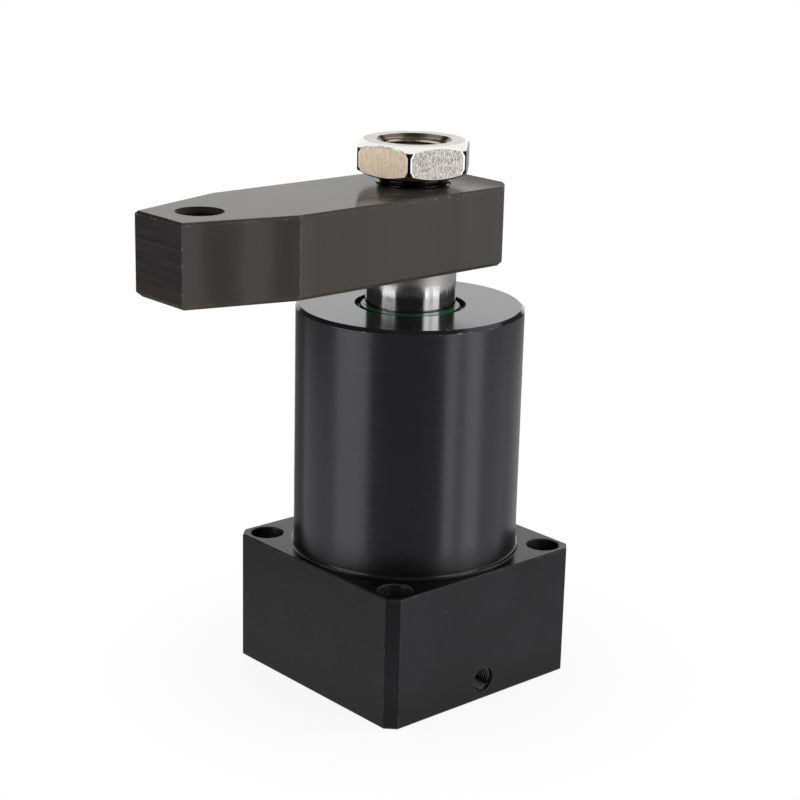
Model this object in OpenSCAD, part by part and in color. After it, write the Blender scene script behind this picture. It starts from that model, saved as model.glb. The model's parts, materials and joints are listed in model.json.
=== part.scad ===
// Double-acting hydraulic swing clamp cylinder with a square mounting base and a tapered clamp arm.
// Shown clamped: piston down, arm along -X. It lifts straight, then lifts and swings by a quarter turn.
// Origin: middle of the base's bottom face. The rod axis is +Z and the front port faces -Y.

/* [Base] */
// Side of the square base
base_w = 82; // [80:0.5:96]
// Height of the base
base_h = 45; // [36:0.5:54]
// Flat cut on the four upright corners of the base
base_corner = 3.5; // [2:0.25:4.5]
// Distance of a mounting hole's centre from the base's sides
hole_inset = 7.5; // [7.25:0.25:8.5]
// Mounting hole for a 10 mm screw
hole_d = 11; // [9:0.5:12]
// Countersink at the mounting holes' mouths
hole_mouth = 0.35; // [0.2:0.05:0.6]
// Broken edges round the base
base_break = 0.5; // [0.3:0.1:1]

/* [Cylinder] */
// Outer diameter of the round body
body_d = 76; // [72:0.5:78]
// Bevel round the top of the body
rim = 1.2; // [0.5:0.1:1.5]
// Fillet where the round body meets the base
foot_r = 1.2; // [0.6:0.1:1.4]
// Bore that the piston runs in
bore_d = 50; // [46:0.5:52]

/* [Strokes] */
// Straight clamping stroke
clamp_stroke = 12; // [8:0.5:16]
// Lift while the arm swings
swing_lift = 14; // [10:0.5:18]
// Swing of the arm, in degrees
swing_angle = 90; // [60:5:90]
// Room left above the guide sleeve at full stroke
chamber_room = 5.5; // [3:0.5:8]

/* [Rod] */
// Diameter of the piston rod
rod_d = 30; // [28:0.25:31]
// Bare rod between the body and the arm when clamped
rod_reach = 14; // [10:0.5:20]
// Thread at the rod's upper end, outer diameter
thread_d = 24; // [22:0.5:25]
// Depth of that thread
thread_depth = 0.9; // [0.7:0.05:1]
// How far the threaded end reaches into the nut
thread_in_nut = 6; // [4:0.5:9]
// Length of the tapered seat in the arm
seat_len = 19; // [14:0.5:22]
// Narrowing of the tapered seat, on the diameter
seat_taper = 2; // [1:0.1:3]
// Spigot that carries the piston
spigot_d = 20; // [17:0.25:21]
// Thread below the spigot
tail_d = 18; // [15:0.25:18]
// Thickness of the piston nut
tail_nut_t = 6; // [5:0.25:7]
// Piston nut across its flats
tail_nut_af = 27; // [24:0.5:28]

/* [Arm] */
// Thickness of the clamp arm
arm_t = 26.25; // [24:0.25:32]
// Width of the arm at the rod
arm_w = 45; // [40:0.5:50]
// From the rod axis to the arm's tip
arm_reach = 100; // [90:1:130]
// From the rod axis to where the arm begins to narrow
arm_shoulder = 64.5; // [40:0.5:75]
// From the rod axis to the arm's back end
arm_back = 26; // [22:0.5:34]
// Width of the arm's tip
arm_tip_w = 24; // [20:0.5:32]
// Cut on the arm's two back corners
arm_corner = 6.5; // [3:0.5:8]
// Broken upper edges of the arm
arm_break = 0.8; // [0.3:0.1:1.2]
// Broken lower edges of the arm
arm_break_low = 1.5; // [0.5:0.1:2]
// From the rod axis to the contact screw's hole
tip_hole_x = 85; // [80:0.5:88]
// Core diameter of the contact screw's threaded hole
tip_hole_d = 12; // [10:0.25:14]
// Countersink of that hole, on the radius
tip_hole_mouth = 1.5; // [0.5:0.1:2]

/* [Arm nut] */
// Arm nut across its flats
nut_af = 35; // [33:0.5:38]
// Thickness of the arm nut
nut_t = 11; // [9:0.25:14]
// Gap below the nut, which is backed off from the arm
nut_gap = 3.3; // [1:0.1:5]
// Turn of the nut about the rod, in degrees
nut_turn = 44; // [0:1:59]
// Slope of the nuts' rounded-off corners, in degrees
nut_slope = 30; // [20:1:35]
// Countersink of the nuts' threads, on the radius
nut_mouth = 1.3; // [0.8:0.1:1.6]
// How far the nuts' six corners are turned off, on the radius
nut_corner = 0.2; // [0.05:0.05:0.5]
// How far the nuts' sloping edges reach in over their flats, on the radius
nut_rim = 1; // [0.3:0.1:1.2]

/* [Piston] */
// Height of the piston
piston_h = 20; // [19:0.5:26]
// Relief below the piston, where the oil comes in: height
relief_h = 4; // [3:0.25:4.5]
// Relief below the piston: depth on the radius
relief_depth = 3; // [2:0.25:3.5]
// Recess for the piston nut: diameter
nut_recess_d = 34; // [33:0.5:36]
// Height of the piston's wear ring
wear_ring_h = 5; // [4:0.25:5.5]
// Thickness of the piston's wear ring
wear_ring_t = 2.5; // [2:0.1:3]
// Slit in the wear ring
wear_ring_slit = 1.5; // [1:0.1:3]
// Height of the piston seal
piston_seal_h = 4.5; // [4:0.25:5]
// Depth of the piston seal's groove
piston_seal_depth = 4.5; // [4:0.1:5]
// Thickness of the sliding ring in that groove
slide_ring_t = 1.6; // [1.2:0.1:2]
// Thickness of the thrust washer on the piston
washer_t = 2; // [1.5:0.1:3]
// Cord of the spigot's sealing ring
spigot_cord = 2; // [1.6:0.1:2.4]

/* [Swing guide] */
// Height of the guide sleeve
sleeve_h = 30; // [26:0.5:36]
// Diameter of the guide balls
ball_d = 8; // [6.5:0.25:8.5]
// How far a ball reaches into the rod
ball_bite = 1.9; // [1.4:0.1:2.2]
// Guide balls round the rod
ball_count = 3; // [2:1:3]
// Diameter of the guide pins
pin_d = 4; // [3:0.25:4.5]
// Length of a guide pin inside the head
pin_seat = 8; // [6:0.5:12]
// Oil notches along the guide sleeve, diameter
notch_d = 5; // [3:0.25:6]

/* [Head] */
// Outer diameter of the rod bush
bush_d = 34; // [33:0.25:35]
// Length of the rod bush
bush_len = 18; // [14:0.5:24]
// Land on either side of the rod seal
land = 1.5; // [1.2:0.1:2.5]
// Outer diameter of the rod seal
rod_seal_d = 40; // [38:0.25:42]
// Height of the rod seal
rod_seal_h = 5; // [4:0.25:6]
// Height of the rod seal's backup ring
backup_h = 2; // [1.2:0.1:2.5]
// Diameter of the wiper's recess in the top face
wiper_d = 37; // [36:0.25:39]
// Depth of the wiper's recess
wiper_recess = 4; // [3.5:0.1:5]
// Height of the wiper's body
wiper_h = 2.2; // [2:0.1:3]
// Width of the wiper's lip beside the rod
wiper_lip_w = 1.3; // [1:0.1:2]

/* [Bottom cover] */
// Step of the cover's thread outside the bore, on the radius
cover_step = 3; // [2:0.25:3.5]
// Height of the threaded part of the cover
cover_thread_h = 7.5; // [6:0.25:8]
// Height of the cover's spigot in the bore
cover_spigot_h = 4; // [3.75:0.25:6]
// Cover below the base's face
cover_recess = 0.5; // [0.2:0.1:1]
// Cord of the cover's sealing ring
cover_cord = 2.6; // [2:0.1:2.8]
// Spanner holes in the cover: diameter
spanner_d = 6; // [4:0.25:8]
// Spanner holes in the cover: depth
spanner_depth = 5; // [3:0.25:6]
// Spanner holes in the cover: spacing
spanner_pitch = 36; // [30:0.5:40]

/* [Ports] */
// Core diameter of the two oil ports
port_d = 8.6; // [8:0.1:9.5]
// Depth of the oil ports
port_depth = 9; // [8.5:0.25:9.5]
// Height of the ports above the base's face
port_z = 7; // [6.5:0.25:9]
// Diameter of the oil passages
passage_d = 4; // [3:0.25:4.25]
// How far the upright passage opens into the side of the rear port
passage_open = 1; // [0.75:0.05:1.25]
// Rise of the sloping passage above the front port
passage_rise = 10.5; // [9.5:0.25:11]
// Diameter of the plug that closes the upright passage
plug_d = 5; // [4.5:0.1:5.2]
// Length of the plug
plug_len = 3; // [2:0.1:3.2]

/* [Clearances] */
// Between sliding surfaces, on the radius
run_clear = 0.05; // [0.02:0.01:0.09]
// Between a seal and the surface it wipes
seal_clear = 0.06; // [0.03:0.01:0.09]
// Between seated pieces
fit_clear = 0.02; // [0.01:0.01:0.05]
// Between moving pieces that stop against each other
stop_clear = 0.3; // [0.2:0.05:0.5]
// Room round a guide ball in its groove
groove_clear = 0.2; // [0.15:0.05:0.3]

/* [Hidden] */
$fn = 64;

// Overshoot of cuts beyond the faces that they open
over = 1;

// Levels of the pieces, upwards from the base
cover_top = cover_recess + cover_thread_h + cover_spigot_h;
cover_groove_z = cover_top - (cover_spigot_h + cover_cord) / 2;
piston_z = cover_top + stop_clear;
piston_top = piston_z + piston_h;
rod_z = piston_top + washer_t + run_clear;
sleeve_z = rod_z + swing_lift + stop_clear;
sleeve_top = sleeve_z + sleeve_h;
head_z = sleeve_top + clamp_stroke + chamber_room;
seal_z = head_z + bush_len + land;
seal_groove_h = rod_seal_h + backup_h + 3 * fit_clear;
wiper_z = seal_z + seal_groove_h + land;
body_top = wiper_z + wiper_recess;
arm_z = body_top + rod_reach;
arm_top = arm_z + arm_t;
nut_z = arm_top + nut_gap;
nut_top = nut_z + nut_t;

// Radii
rod_r = rod_d / 2;
bore_r = bore_d / 2;
body_r = body_d / 2;
cover_r = bore_r + cover_step;
land_r = rod_r + stop_clear;
passage_r = (cover_r + body_r) / 2;
piston_r = bore_r - run_clear;
spigot_r = spigot_d / 2;
ball_r = ball_d / 2;
ball_path_r = rod_r - ball_bite + ball_r;
pin_path_r = (rod_r + bore_r) / 2 + run_clear;

// Square outline of the base, counted anticlockwise from the front right
base_half = base_w / 2;
base_flat = base_half - base_corner;
base_outline = [
    [base_half, -base_flat], [base_half, base_flat], [base_flat, base_half], [-base_flat, base_half],
    [-base_half, base_flat], [-base_half, -base_flat], [-base_flat, -base_half], [base_flat, -base_half]
];
hole_place = base_half - hole_inset;

// Place of the upright passage, which just opens into the side of the rear port
passage_aside = (port_d + passage_d) / 2 - passage_open;
passage_y = sqrt(passage_r * passage_r - passage_aside * passage_aside);

// Share of the rod seal's width that its notch takes
seal_notch = 0.3;

// Outline of the arm, which points along -X
arm_half = arm_w / 2;
arm_tip_half = arm_tip_w / 2;
arm_outline = [
    [arm_back, arm_corner - arm_half], [arm_back, arm_half - arm_corner], [arm_back - arm_corner, arm_half],
    [-arm_shoulder, arm_half], [-arm_reach, arm_tip_half], [-arm_reach, -arm_tip_half],
    [-arm_shoulder, -arm_half], [arm_back - arm_corner, -arm_half]
];

// Helical groove of a guide ball, in the rod
groove_sides = 12;
groove_steps = 20;
groove_r = (ball_r + groove_clear) / cos(180 / groove_sides);
groove_lead = swing_lift / swing_angle;
groove_end = (ball_r + groove_clear) / norm([ball_path_r * PI / 180, groove_lead]);
ball_z = sleeve_z + sleeve_h / 2;
function groove_angle(i) = (swing_angle + 2 * groove_end) * i / groove_steps - swing_angle - groove_end;

// Corners of one ring of the groove: its section stands square to the helix
function groove_ring(turn) =
    let (
        out = [cos(turn), sin(turn), 0],
        round = [-sin(turn), cos(turn), 0],
        run = ball_path_r * PI / 180 * round + [0, 0, groove_lead],
        side = cross(run / norm(run), out),
        centre = ball_path_r * out + [0, 0, ball_z + groove_lead * turn]
    )
    [for (k = [0:groove_sides - 1])
        centre + groove_r * (cos(360 * k / groove_sides) * out + sin(360 * k / groove_sides) * side)];

// Places round the rod
function spread(count, first) = [for (i = [0:count - 1]) first + 360 * i / count];
ball_places = spread(ball_count, 0);
pin_places = spread(ball_count, 180 / ball_count);
notch_places = spread(2 * ball_count, 90 / ball_count);

// Grooves of the piston, upwards from its lower face
wear_groove_z = piston_z + relief_h + (piston_h - relief_h - wear_ring_h - piston_seal_h) / 3;
seal_groove_z = wear_groove_z + wear_ring_h + (piston_h - relief_h - wear_ring_h - piston_seal_h) / 3;
nut_recess_h = tail_nut_t + 2 * stop_clear;
spigot_seal_z = piston_top - (piston_h - nut_recess_h) / 2;

// Prisms that bevel every edge of a convex outline lying at one height
module edge_cuts(outline, z, size) {
    for (i = [0:len(outline) - 1]) {
        start = outline[i];
        run = outline[(i + 1) % len(outline)] - start;
        middle = start + run / 2;
        translate([middle.x, middle.y, z])
            rotate([0, 0, atan2(run.y, run.x)])
                rotate([45, 0, 0])
                    cube([norm(run) + 2 * size, size * sqrt(2), size * sqrt(2)], center = true);
    }
}

// Flat block with an outline and bevelled edges above and below
module bevelled_block(outline, height, lower, upper) {
    difference() {
        linear_extrude(height) polygon(outline);
        edge_cuts(outline, 0, lower);
        edge_cuts(outline, height, upper);
    }
}

// Plain ring between two radii
module ring(inner, outer, height) {
    rotate_extrude() translate([inner, 0]) square([outer - inner, height]);
}

// Ring with a rounded section that fills a groove
module cord_ring(inner, outer, cord) {
    rotate_extrude()
        intersection() {
            translate([(inner + outer) / 2, cord / 2]) circle(d = cord);
            translate([inner, 0]) square([outer - inner, cord]);
        }
}

// Six-sided nut with its corners turned off, round the sides and on both faces
module hex_nut(across, height, hole, slope) {
    sharp_r = across / sqrt(3);
    corner_r = sharp_r - nut_corner;
    face_r = across / 2 - nut_rim;
    drop = (corner_r - face_r) * tan(slope);
    difference() {
        intersection() {
            cylinder(r = sharp_r, h = height, $fn = 6);
            rotate_extrude()
                polygon([
                    [0, 0], [face_r, 0], [corner_r, drop], [corner_r, height - drop],
                    [face_r, height], [0, height]
                ]);
        }
        rotate_extrude()
            polygon([
                [0, -over], [hole / 2 + nut_mouth + over, -over], [hole / 2 + nut_mouth, 0],
                [hole / 2, nut_mouth], [hole / 2, height - nut_mouth], [hole / 2 + nut_mouth, height],
                [hole / 2 + nut_mouth + over, height + over], [0, height + over]
            ]);
    }
}

// Round mounting hole through the base, countersunk at both ends
module mounting_hole() {
    mouth_r = hole_d / 2 + hole_mouth;
    rotate_extrude()
        polygon([
            [0, -over], [mouth_r + over, -over], [mouth_r, 0], [hole_d / 2, hole_mouth],
            [hole_d / 2, base_h - hole_mouth], [mouth_r, base_h], [mouth_r, base_h + foot_r + over],
            [0, base_h + foot_r + over]
        ]);
}

// Oil port drilled into the front face
module port() {
    translate([0, -base_half - over, port_z])
        rotate([-90, 0, 0])
            cylinder(d = port_d, h = port_depth + over);
}

// Sloping passage from the front port up to the room below the piston
module sloping_passage() {
    start = [0, port_depth - base_half - passage_d / 2, port_z];
    run = [0, base_half - port_depth - bore_r + passage_d, passage_rise];
    translate(start)
        rotate([-atan2(run.y, run.z), 0, 0])
            cylinder(d = passage_d, h = norm(run));
}

// Place of the upright passage
module at_upright_passage() {
    translate([passage_aside, passage_y, 0]) children();
}

// Drill in the bottom of the rear port, which keeps it open to the upright passage
module cross_drill() {
    translate([(port_d - passage_d - passage_open / 2) / 2, passage_y, port_z])
        rotate([-90, 0, 0])
            cylinder(d = passage_d, h = base_half - port_depth / 2 - passage_y);
}

// Everything turned out of the body from below and above
module body_bore() {
    relief_z = head_z - passage_d;
    rotate_extrude()
        polygon([
            [0, -over], [cover_r, -over], [cover_r, cover_recess + cover_thread_h + fit_clear],
            [bore_r, cover_recess + cover_thread_h + fit_clear], [bore_r, relief_z], [passage_r, relief_z],
            [passage_r, head_z], [bush_d / 2, head_z], [bush_d / 2, head_z + bush_len],
            [land_r, head_z + bush_len], [land_r, seal_z], [rod_seal_d / 2, seal_z],
            [rod_seal_d / 2, seal_z + seal_groove_h], [land_r, seal_z + seal_groove_h], [land_r, wiper_z],
            [wiper_d / 2, wiper_z], [wiper_d / 2, body_top + over], [0, body_top + over]
        ]);
}

// One-piece body: square base below, round cylinder with its head above
module cylinder_body() {
    color([0.17, 0.17, 0.18])
        difference() {
            union() {
                bevelled_block(base_outline, base_h, base_break, base_break);
                rotate_extrude()
                    difference() {
                        polygon([
                            [0, over], [body_r, over], [body_r, base_h - foot_r],
                            [body_r + foot_r, base_h - foot_r], [body_r + foot_r, base_h + foot_r],
                            [body_r, base_h + foot_r],
                            [body_r, body_top - rim], [body_r - rim, body_top], [0, body_top]
                        ]);
                        translate([body_r + foot_r, base_h + foot_r]) circle(r = foot_r);
                    }
            }
            body_bore();
            for (x = [-1, 1], y = [-1, 1])
                translate([x * hole_place, y * hole_place, 0])
                    mounting_hole();
            port();
            rotate([0, 0, 180]) port();
            sloping_passage();
            cross_drill();
            at_upright_passage() {
                translate([0, 0, -over]) cylinder(d = passage_d, h = head_z - passage_d / 2 + over);
                translate([0, 0, -over]) cylinder(d = plug_d, h = cover_recess + plug_len + over);
            }
            for (turn = pin_places)
                rotate([0, 0, turn])
                    translate([pin_path_r, 0, head_z - over])
                        cylinder(d = pin_d, h = pin_seat + over);
        }
}

// Cover screwed into the base from below, with two spanner holes and a ring groove
module bottom_cover() {
    color([0.55, 0.56, 0.58])
        difference() {
            rotate_extrude()
                polygon([
                    [0, cover_recess], [cover_r - fit_clear, cover_recess],
                    [cover_r - fit_clear, cover_recess + cover_thread_h],
                    [bore_r - fit_clear, cover_recess + cover_thread_h], [bore_r - fit_clear, cover_top],
                    [0, cover_top]
                ]);
            translate([0, 0, cover_groove_z])
                ring(bore_r - cover_cord, bore_r + over, cover_cord);
            for (side = [-1, 1])
                translate([side * spanner_pitch / 2, 0, cover_recess - over])
                    cylinder(d = spanner_d, h = spanner_depth + over);
        }
}

// Sealing ring of the cover
module cover_o_ring() {
    color([0.08, 0.08, 0.08])
        translate([0, 0, cover_groove_z])
            cord_ring(bore_r - cover_cord + fit_clear, bore_r - fit_clear, cover_cord);
}

// Plug that closes the upright oil passage at the base's face
module passage_plug() {
    color([0.6, 0.6, 0.62])
        at_upright_passage()
            translate([0, 0, cover_recess])
                cylinder(d = plug_d - 2 * fit_clear, h = plug_len);
}

// Bronze bush that guides the rod in the head
module rod_bush() {
    color([0.72, 0.53, 0.28])
        translate([0, 0, head_z])
            ring(rod_r + run_clear, bush_d / 2 - fit_clear, bush_len - fit_clear);
}

// Lip seal of the rod, open towards the pressure below
module rod_seal() {
    inner = rod_r + seal_clear;
    outer = rod_seal_d / 2 - fit_clear;
    middle = (inner + outer) / 2;
    notch = seal_notch * (outer - inner) / 2;
    color([0.12, 0.25, 0.5])
        translate([0, 0, seal_z + fit_clear])
            rotate_extrude()
                polygon([
                    [inner, 0], [middle - notch, 0], [middle, rod_seal_h / 2], [middle + notch, 0],
                    [outer, 0], [outer, rod_seal_h], [inner, rod_seal_h]
                ]);
}

// Stiff ring above the rod seal
module seal_backup_ring() {
    color([0.9, 0.88, 0.8])
        translate([0, 0, seal_z + rod_seal_h + 2 * fit_clear])
            ring(rod_r + seal_clear, rod_seal_d / 2 - fit_clear, backup_h);
}

// Wiper in the top face: a flat body with a lip that rises along the rod
module rod_wiper() {
    inner = rod_r + seal_clear;
    outer = wiper_d / 2 - fit_clear;
    lip_r = inner + wiper_lip_w;
    lip_top = wiper_recess - stop_clear;
    color([0.16, 0.5, 0.28])
        translate([0, 0, wiper_z])
            rotate_extrude()
                polygon([
                    [inner, fit_clear], [outer, fit_clear], [outer, wiper_h],
                    [lip_r + stop_clear, wiper_h], [lip_r, lip_top], [inner, lip_top]
                ]);
}

// Pins pressed into the head, which keep the guide sleeve from turning
module guide_pins() {
    pin_z = sleeve_z + clamp_stroke + over;
    color([0.75, 0.76, 0.78])
        for (turn = pin_places)
            rotate([0, 0, turn])
                translate([pin_path_r, 0, pin_z])
                    cylinder(d = pin_d - 2 * fit_clear, h = head_z + pin_seat - fit_clear - pin_z);
}

// Sleeve that holds the guide balls, with holes for the pins and notches for the oil
module guide_sleeve() {
    color([0.5, 0.5, 0.54])
        difference() {
            translate([0, 0, sleeve_z]) ring(rod_r + run_clear, bore_r - run_clear, sleeve_h);
            for (turn = pin_places)
                rotate([0, 0, turn])
                    translate([pin_path_r, 0, sleeve_z - over])
                        cylinder(d = pin_d + 2 * run_clear, h = sleeve_h + 2 * over);
            for (turn = notch_places)
                rotate([0, 0, turn])
                    translate([bore_r, 0, sleeve_z - over])
                        cylinder(d = notch_d, h = sleeve_h + 2 * over);
            for (turn = ball_places)
                rotate([0, 0, turn])
                    translate([0, 0, ball_z]) {
                        rotate([0, 90, 0]) cylinder(r = ball_r + fit_clear, h = ball_path_r);
                        translate([ball_path_r, 0, 0]) sphere(r = ball_r + fit_clear);
                    }
        }
}

// Balls that run in the rod's helical grooves
module guide_balls() {
    color([0.85, 0.86, 0.88])
        for (turn = ball_places)
            rotate([0, 0, turn])
                translate([ball_path_r, 0, ball_z])
                    sphere(r = ball_r);
}

// Piston on the rod's spigot, with two outer grooves, an inner groove and a recess for its nut
module piston() {
    relief_r = piston_r - relief_depth;
    inner = spigot_r + run_clear;
    wear_r = bore_r - wear_ring_t;
    seal_r = bore_r - piston_seal_depth;
    color([0.62, 0.63, 0.65])
        difference() {
            rotate_extrude()
                polygon([
                    [nut_recess_d / 2, piston_z], [relief_r, piston_z], [relief_r, piston_z + relief_h],
                    [piston_r, piston_z + relief_h], [piston_r, wear_groove_z], [wear_r, wear_groove_z],
                    [wear_r, wear_groove_z + wear_ring_h], [piston_r, wear_groove_z + wear_ring_h],
                    [piston_r, seal_groove_z], [seal_r, seal_groove_z],
                    [seal_r, seal_groove_z + piston_seal_h], [piston_r, seal_groove_z + piston_seal_h],
                    [piston_r, piston_top], [inner, piston_top],
                    [inner, piston_z + nut_recess_h], [nut_recess_d / 2, piston_z + nut_recess_h]
                ]);
            translate([0, 0, spigot_seal_z - spigot_cord / 2])
                ring(spigot_r, spigot_r + spigot_cord, spigot_cord);
        }
}

// Sliding ring of the piston seal
module piston_slide_ring() {
    outer = bore_r - seal_clear;
    color([0.2, 0.55, 0.52])
        translate([0, 0, seal_groove_z + fit_clear])
            ring(outer - slide_ring_t, outer, piston_seal_h - 2 * fit_clear);
}

// Rubber ring that presses the sliding ring against the bore
module piston_energizer() {
    inner = bore_r - piston_seal_depth + fit_clear;
    outer = bore_r - seal_clear - slide_ring_t - fit_clear;
    color([0.08, 0.08, 0.08])
        translate([0, 0, seal_groove_z + fit_clear])
            cord_ring(inner, outer, piston_seal_h - 2 * fit_clear);
}

// Slit wear ring of the piston
module piston_wear_ring() {
    outer = bore_r - run_clear;
    color([0.45, 0.3, 0.15])
        translate([0, 0, wear_groove_z + fit_clear])
            difference() {
                ring(bore_r - wear_ring_t + fit_clear, outer, wear_ring_h - 2 * fit_clear);
                translate([0, -wear_ring_slit / 2, -over])
                    cube([bore_r + over, wear_ring_slit, wear_ring_h + 2 * over]);
            }
}

// Washer between the rod's shoulder and the piston
module thrust_washer() {
    color([0.72, 0.53, 0.28])
        translate([0, 0, piston_top])
            ring(spigot_r + run_clear, rod_r - stop_clear, washer_t);
}

// Sealing ring between the piston and the rod's spigot
module spigot_seal() {
    color([0.08, 0.08, 0.08])
        translate([0, 0, spigot_seal_z - spigot_cord / 2])
            cord_ring(spigot_r + seal_clear, spigot_r + spigot_cord - fit_clear, spigot_cord);
}

// Swept helical track of one guide ball
module ball_groove() {
    rings = [for (i = [0:groove_steps]) groove_ring(groove_angle(i))];
    last = groove_steps * groove_sides;
    polyhedron(
        points = [for (one = rings) each one],
        faces = [
            [for (k = [0:groove_sides - 1]) k],
            for (i = [0:groove_steps - 1], k = [0:groove_sides - 1])
                let (a = i * groove_sides + k, b = i * groove_sides + (k + 1) % groove_sides)
                each [[a, a + groove_sides, b], [b, a + groove_sides, b + groove_sides]],
            [for (k = [groove_sides - 1:-1:0]) last + k]
        ]
    );
}

// Rod: tail thread, spigot, shaft with ball tracks, tapered seat and upper thread
module piston_rod() {
    tail_r = tail_d / 2;
    tail_z = piston_z + stop_clear;
    nut_seat = piston_z + nut_recess_h - run_clear;
    seat_top_r = rod_r - seat_taper / 2;
    neck_r = thread_d / 2 - thread_depth - fit_clear;
    rod_top = nut_z + thread_in_nut;
    color([0.78, 0.79, 0.8])
        difference() {
            rotate_extrude()
                polygon([
                    [0, tail_z], [tail_r - rim, tail_z], [tail_r, tail_z + rim], [tail_r, nut_seat],
                    [spigot_r, nut_seat], [spigot_r, rod_z], [rod_r, rod_z], [rod_r, arm_z],
                    [seat_top_r, arm_z + seat_len], [neck_r, arm_z + seat_len], [neck_r, rod_top - rim],
                    [neck_r - rim, rod_top], [0, rod_top]
                ]);
            for (turn = ball_places)
                rotate([0, 0, turn])
                    ball_groove();
        }
}

// Nut that keeps the piston on the rod
module piston_nut() {
    color([0.6, 0.6, 0.62])
        translate([0, 0, piston_z + nut_recess_h - run_clear - tail_nut_t])
            hex_nut(tail_nut_af, tail_nut_t, tail_d + 2 * fit_clear, nut_slope);
}

// Clamp arm: straight by the rod, narrowing towards its tip
module clamp_arm() {
    wide_r = rod_r + fit_clear;
    narrow_r = rod_r - seat_taper / 2 + fit_clear;
    neck_r = thread_d / 2 + stop_clear;
    mouth_r = tip_hole_d / 2 + tip_hole_mouth;
    color([0.3, 0.29, 0.28])
        difference() {
            translate([0, 0, arm_z]) bevelled_block(arm_outline, arm_t, arm_break_low, arm_break);
            rotate_extrude()
                polygon([
                    [0, arm_z - over], [wide_r, arm_z - over], [wide_r, arm_z],
                    [narrow_r, arm_z + seat_len], [narrow_r, arm_z + seat_len + stop_clear],
                    [neck_r, arm_z + seat_len + stop_clear], [neck_r, arm_top + over], [0, arm_top + over]
                ]);
            translate([-tip_hole_x, 0, 0])
                rotate_extrude()
                    polygon([
                        [0, arm_z - over], [mouth_r + over, arm_z - over], [mouth_r, arm_z],
                        [tip_hole_d / 2, arm_z + tip_hole_mouth],
                        [tip_hole_d / 2, arm_top - tip_hole_mouth], [mouth_r, arm_top],
                        [mouth_r + over, arm_top + over], [0, arm_top + over]
                    ]);
        }
}

// Nut that holds the arm on its tapered seat
module arm_nut() {
    color([0.82, 0.8, 0.76])
        translate([0, 0, nut_z])
            rotate([0, 0, nut_turn])
                hex_nut(nut_af, nut_t, thread_d - 2 * thread_depth, nut_slope);
}

cylinder_body();
bottom_cover();
cover_o_ring();
passage_plug();
rod_bush();
rod_seal();
seal_backup_ring();
rod_wiper();
guide_pins();
guide_sleeve();
guide_balls();
piston();
piston_slide_ring();
piston_energizer();
piston_wear_ring();
thrust_washer();
spigot_seal();
piston_rod();
piston_nut();
clamp_arm();
arm_nut();
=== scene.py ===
import json
import math
from types import SimpleNamespace

import bpy
from mathutils import Matrix, Vector


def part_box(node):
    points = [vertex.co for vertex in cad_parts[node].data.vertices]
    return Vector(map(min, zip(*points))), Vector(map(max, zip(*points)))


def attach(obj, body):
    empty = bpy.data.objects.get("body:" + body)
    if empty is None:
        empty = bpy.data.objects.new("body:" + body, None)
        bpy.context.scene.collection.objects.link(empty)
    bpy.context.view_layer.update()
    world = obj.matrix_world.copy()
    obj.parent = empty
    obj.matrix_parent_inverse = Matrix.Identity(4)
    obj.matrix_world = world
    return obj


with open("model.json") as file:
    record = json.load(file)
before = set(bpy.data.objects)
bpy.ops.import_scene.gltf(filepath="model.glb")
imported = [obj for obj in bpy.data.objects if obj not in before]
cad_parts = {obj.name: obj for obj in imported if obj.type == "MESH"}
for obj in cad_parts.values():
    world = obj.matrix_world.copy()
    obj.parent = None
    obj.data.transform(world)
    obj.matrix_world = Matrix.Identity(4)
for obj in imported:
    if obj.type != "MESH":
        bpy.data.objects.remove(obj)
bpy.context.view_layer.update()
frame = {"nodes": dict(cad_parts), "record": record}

MM = 0.001
UP = (0, 0, 1)
TIPWARD = (-1, 0, 0)
ROD_AXIS = (0, 0, 0)

# Camera, as fitted to the photograph's edges
CAMERA_AZIMUTH = -41.675
CAMERA_ELEVATION = 16.613
CAMERA_ROLL = 1.3606
CAMERA_DISTANCE = 649.45 * MM
CAMERA_LENS = 86.938
CAMERA_SENSOR = 36
AIM_ASIDE = -2.614 * MM
AIM_HEIGHT = 94.55 * MM

# Studio: a small pale table, a white background, a dim room below and upright panels of light
TABLE_RADIUS = 0.11
TABLE_INNER_RADIUS = 0.4 * TABLE_RADIUS
TABLE_CORNERS = 96
TABLE_COLOUR = (0.82, 0.82, 0.82, 1)
TABLE_GLOW = 0.9
TABLE_GAP = 0.1 * MM
WHITE = (1, 1, 1, 1)
SKY_AS_LIGHT = 0.42
ROOM_RADIUS = 1.4
ROOM_DEPTH = 1.2
ROOM_CORNERS = 64
ROOM_LIGHT = 0.16
CEILING_HEIGHT = 1.2
CEILING_MIDDLE = 0.6
CEILING_WIDTH = 1.6
CEILING_DEPTH = 1.14
SOFT_TURN = 100
SOFT_DISTANCE = 1.0
SOFT_HEIGHT = 0.5
SOFT_SIZE = 0.8
SOFT_LEVEL = 2.8

# Panels of light: first and last edge in degrees to the right of the camera,
# lower and upper edge in metres, level
PANEL_DISTANCE = 0.9
FOOT, SPLIT, TOP = -0.575, 0.1, 0.6
PANELS = {
    "left_outer": (-127, -75, FOOT, -0.12, 0.53),
    "left_strip": (-75, -39, FOOT, SPLIT, 1.32),
    "left_strip_high": (-75, -39, SPLIT, 0.28, 2.8),
    "right_inner_strip": (37, 48, FOOT, SPLIT, 1.6),
    "right_inner_strip_high": (37, 48, SPLIT, TOP, 1.3),
    "right_gap": (48, 59, FOOT, TOP, 0.66),
    "right_strip": (59, 77, FOOT, SPLIT, 1.6),
    "right_strip_high": (59, 77, SPLIT, TOP, 1.3),
    "right_outer": (77, 115, FOOT, -0.1, 0.54),
    "right_outer_high": (77, 115, -0.03, 0.2, 0.54),
    "right_back": (115, 165, FOOT, -0.1, 0.3),
    "right_back_high": (115, 165, -0.03, 0.2, 0.3),
    "low_back": (168, 196, FOOT, -0.02, 0.9),
}

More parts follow.
